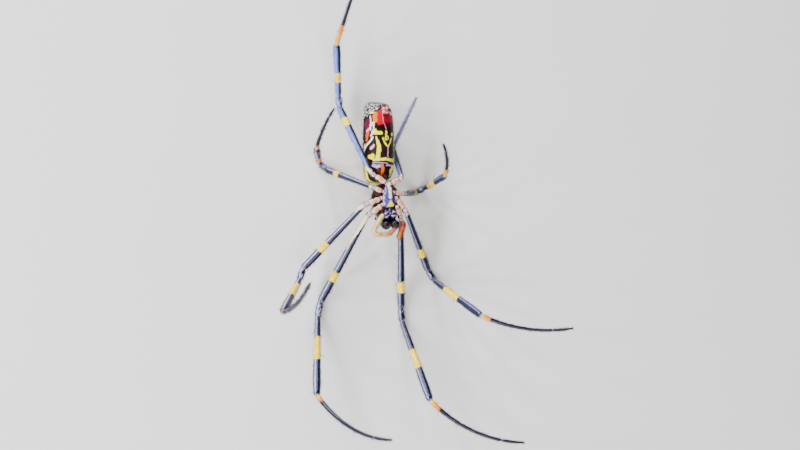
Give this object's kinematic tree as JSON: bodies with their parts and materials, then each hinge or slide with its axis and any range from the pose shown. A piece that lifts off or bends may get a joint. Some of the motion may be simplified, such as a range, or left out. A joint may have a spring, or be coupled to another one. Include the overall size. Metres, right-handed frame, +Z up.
{
  "type": "golden silk orb weaver model",
  "caption": "Life-size still model of an adult female orb weaver spider, lying belly up on its knees with long banded legs raised, patterned belly and red tail end.",
  "frame": {"origin": "middle of the footprint of the whole model, at the floor", "axes": "+Z up, the way the belly faces; +Y towards the tail; -X is the animal's own left side"},
  "size_m": [0.0578, 0.0838, 0.033],
  "materials": {
    "abdomen": "satin, patterned",
    "carapace": "matte with pale down",
    "sternum": "gloss",
    "mouthparts": "high gloss",
    "palps": "satin",
    "legs": "gloss, banded",
    "eyes": "high gloss"
  },
  "bodies": {
    "root": {"abdomen": "abdomen", "carapace": "carapace", "chelicera_left": "mouthparts", "chelicera_right": "mouthparts", "eye_front_median_left": "eyes", "eye_front_median_right": "eyes", "eye_front_side_left": "eyes", "eye_front_side_right": "eyes", "eye_rear_median_left": "eyes", "eye_rear_median_right": "eyes", "eye_rear_side_left": "eyes", "eye_rear_side_right": "eyes", "fang_left": "mouthparts", "fang_right": "mouthparts", "leg1_left_coxa": "legs", "leg1_left_femur": "legs", "leg1_left_foot": "legs", "leg1_left_patella": "legs", "leg1_left_tibia": "legs", "leg1_right_coxa": "legs", "leg1_right_femur": "legs", "leg1_right_foot": "legs", "leg1_right_patella": "legs", "leg1_right_tibia": "legs", "leg2_left_coxa": "legs", "leg2_left_femur": "legs", "leg2_left_foot": "legs", "leg2_left_patella": "legs", "leg2_left_tibia": "legs", "leg2_right_coxa": "legs", "leg2_right_femur": "legs", "leg2_right_foot": "legs", "leg2_right_patella": "legs", "leg2_right_tibia": "legs", "leg3_left_coxa": "legs", "leg3_left_femur": "legs", "leg3_left_foot": "legs", "leg3_left_patella": "legs", "leg3_left_tibia": "legs", "leg3_right_coxa": "legs", "leg3_right_femur": "legs", "leg3_right_foot": "legs", "leg3_right_patella": "legs", "leg3_right_tibia": "legs", "leg4_left_coxa": "legs", "leg4_left_femur": "legs", "leg4_left_foot": "legs", "leg4_left_patella": "legs", "leg4_left_tibia": "legs", "leg4_right_coxa": "legs", "leg4_right_femur": "legs", "leg4_right_foot": "legs", "leg4_right_patella": "legs", "leg4_right_tibia": "legs", "mouthparts": "mouthparts", "palp_left": "palps", "palp_right": "palps", "pedicel": "abdomen", "spinnerets": "abdomen", "sternum": "sternum"}
  },
  "joints": []
}
